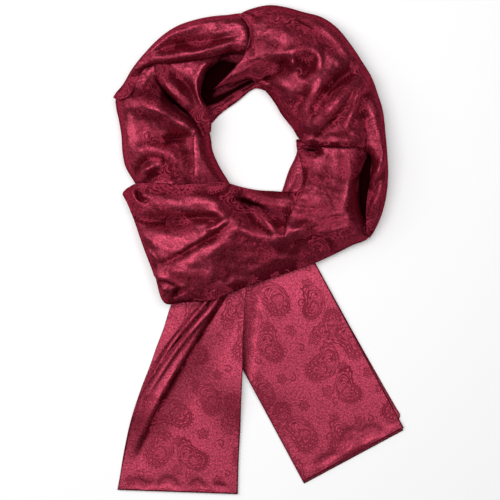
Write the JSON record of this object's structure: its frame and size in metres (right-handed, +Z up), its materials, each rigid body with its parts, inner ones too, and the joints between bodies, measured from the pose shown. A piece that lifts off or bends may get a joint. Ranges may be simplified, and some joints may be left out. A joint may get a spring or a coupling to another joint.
{
  "type": "velvet scarf",
  "caption": "Burgundy satin-faced paisley scarf, folded lengthwise and laid flat in a neck loop with both ends crossed below the band.",
  "frame": {"origin": "on the surface the scarf lies on, below the centre of its bounding box", "axes": "+X to the right of the laid scarf, +Y towards the back of the neck loop, along its length, +Z up from the surface"},
  "size_m": [0.3337, 0.5629, 0.0487],
  "materials": {
    "satin_cloth": "satin-faced jacquard weave, soft sheen"
  },
  "bodies": {
    "root": {"right_tail_under": "satin_cloth", "right_tail": "satin_cloth", "left_tail_under": "satin_cloth", "left_tail_pleat": "satin_cloth", "left_tail": "satin_cloth", "left_neck": "satin_cloth", "left_limb": "satin_cloth", "under_fold": "satin_cloth", "crown_left": "satin_cloth", "inner_pleat": "satin_cloth", "crown_outer": "satin_cloth", "front_band": "satin_cloth", "hood": "satin_cloth"}
  },
  "joints": []
}
